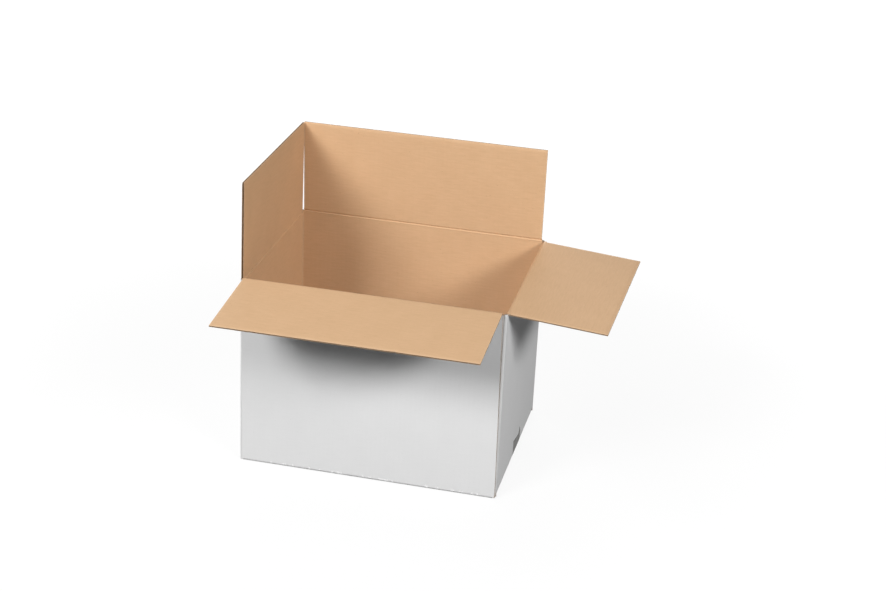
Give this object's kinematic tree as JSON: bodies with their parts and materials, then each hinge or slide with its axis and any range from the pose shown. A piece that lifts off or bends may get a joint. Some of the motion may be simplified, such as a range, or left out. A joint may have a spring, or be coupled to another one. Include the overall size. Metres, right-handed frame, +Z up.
{
  "type": "regular slotted corrugated carton",
  "caption": "Open rectangular shipping carton of white-faced corrugated board, with hinged top flaps, a glued corner and a taped folded bottom.",
  "frame": {"origin": "middle of the base, on the plane of the floor", "axes": "+X along the long walls towards the folded-out end flap, +Y towards the upright long flap, +Z up"},
  "size_m": [0.4923, 0.4038, 0.4008],
  "materials": {
    "board_outside": "matt white liner over brown board",
    "board_inside": "matt brown kraft liner",
    "packing_tape": "glossy polypropylene film"
  },
  "bodies": {
    "carton": {"carton_body": "board_outside", "bottom_tape": "packing_tape"},
    "front": {"front_flap": "board_inside"},
    "back": {"back_flap": "board_inside"},
    "left": {"left_flap": "board_inside"},
    "right": {"right_flap": "board_inside"}
  },
  "joints": [
    {"name": "front_crease", "type": "hinge", "parent": "carton", "child": "front", "pos_m": [0, -0.1355, 0.2678], "axis": [1, 0, 0], "range_deg": [-184.5, 80.5]},
    {"name": "back_crease", "type": "hinge", "parent": "carton", "child": "back", "pos_m": [0, 0.1355, 0.2678], "axis": [-1, 0, 0], "range_deg": [-89.5, 175.5]},
    {"name": "left_crease", "type": "hinge", "parent": "carton", "child": "left", "pos_m": [-0.178, 0, 0.2644], "axis": [0, -1, 0], "range_deg": [-89.6, 175.4]},
    {"name": "right_crease", "type": "hinge", "parent": "carton", "child": "right", "pos_m": [0.178, 0, 0.2644], "axis": [0, 1, 0], "range_deg": [-184.5, 80.5]}
  ]
}
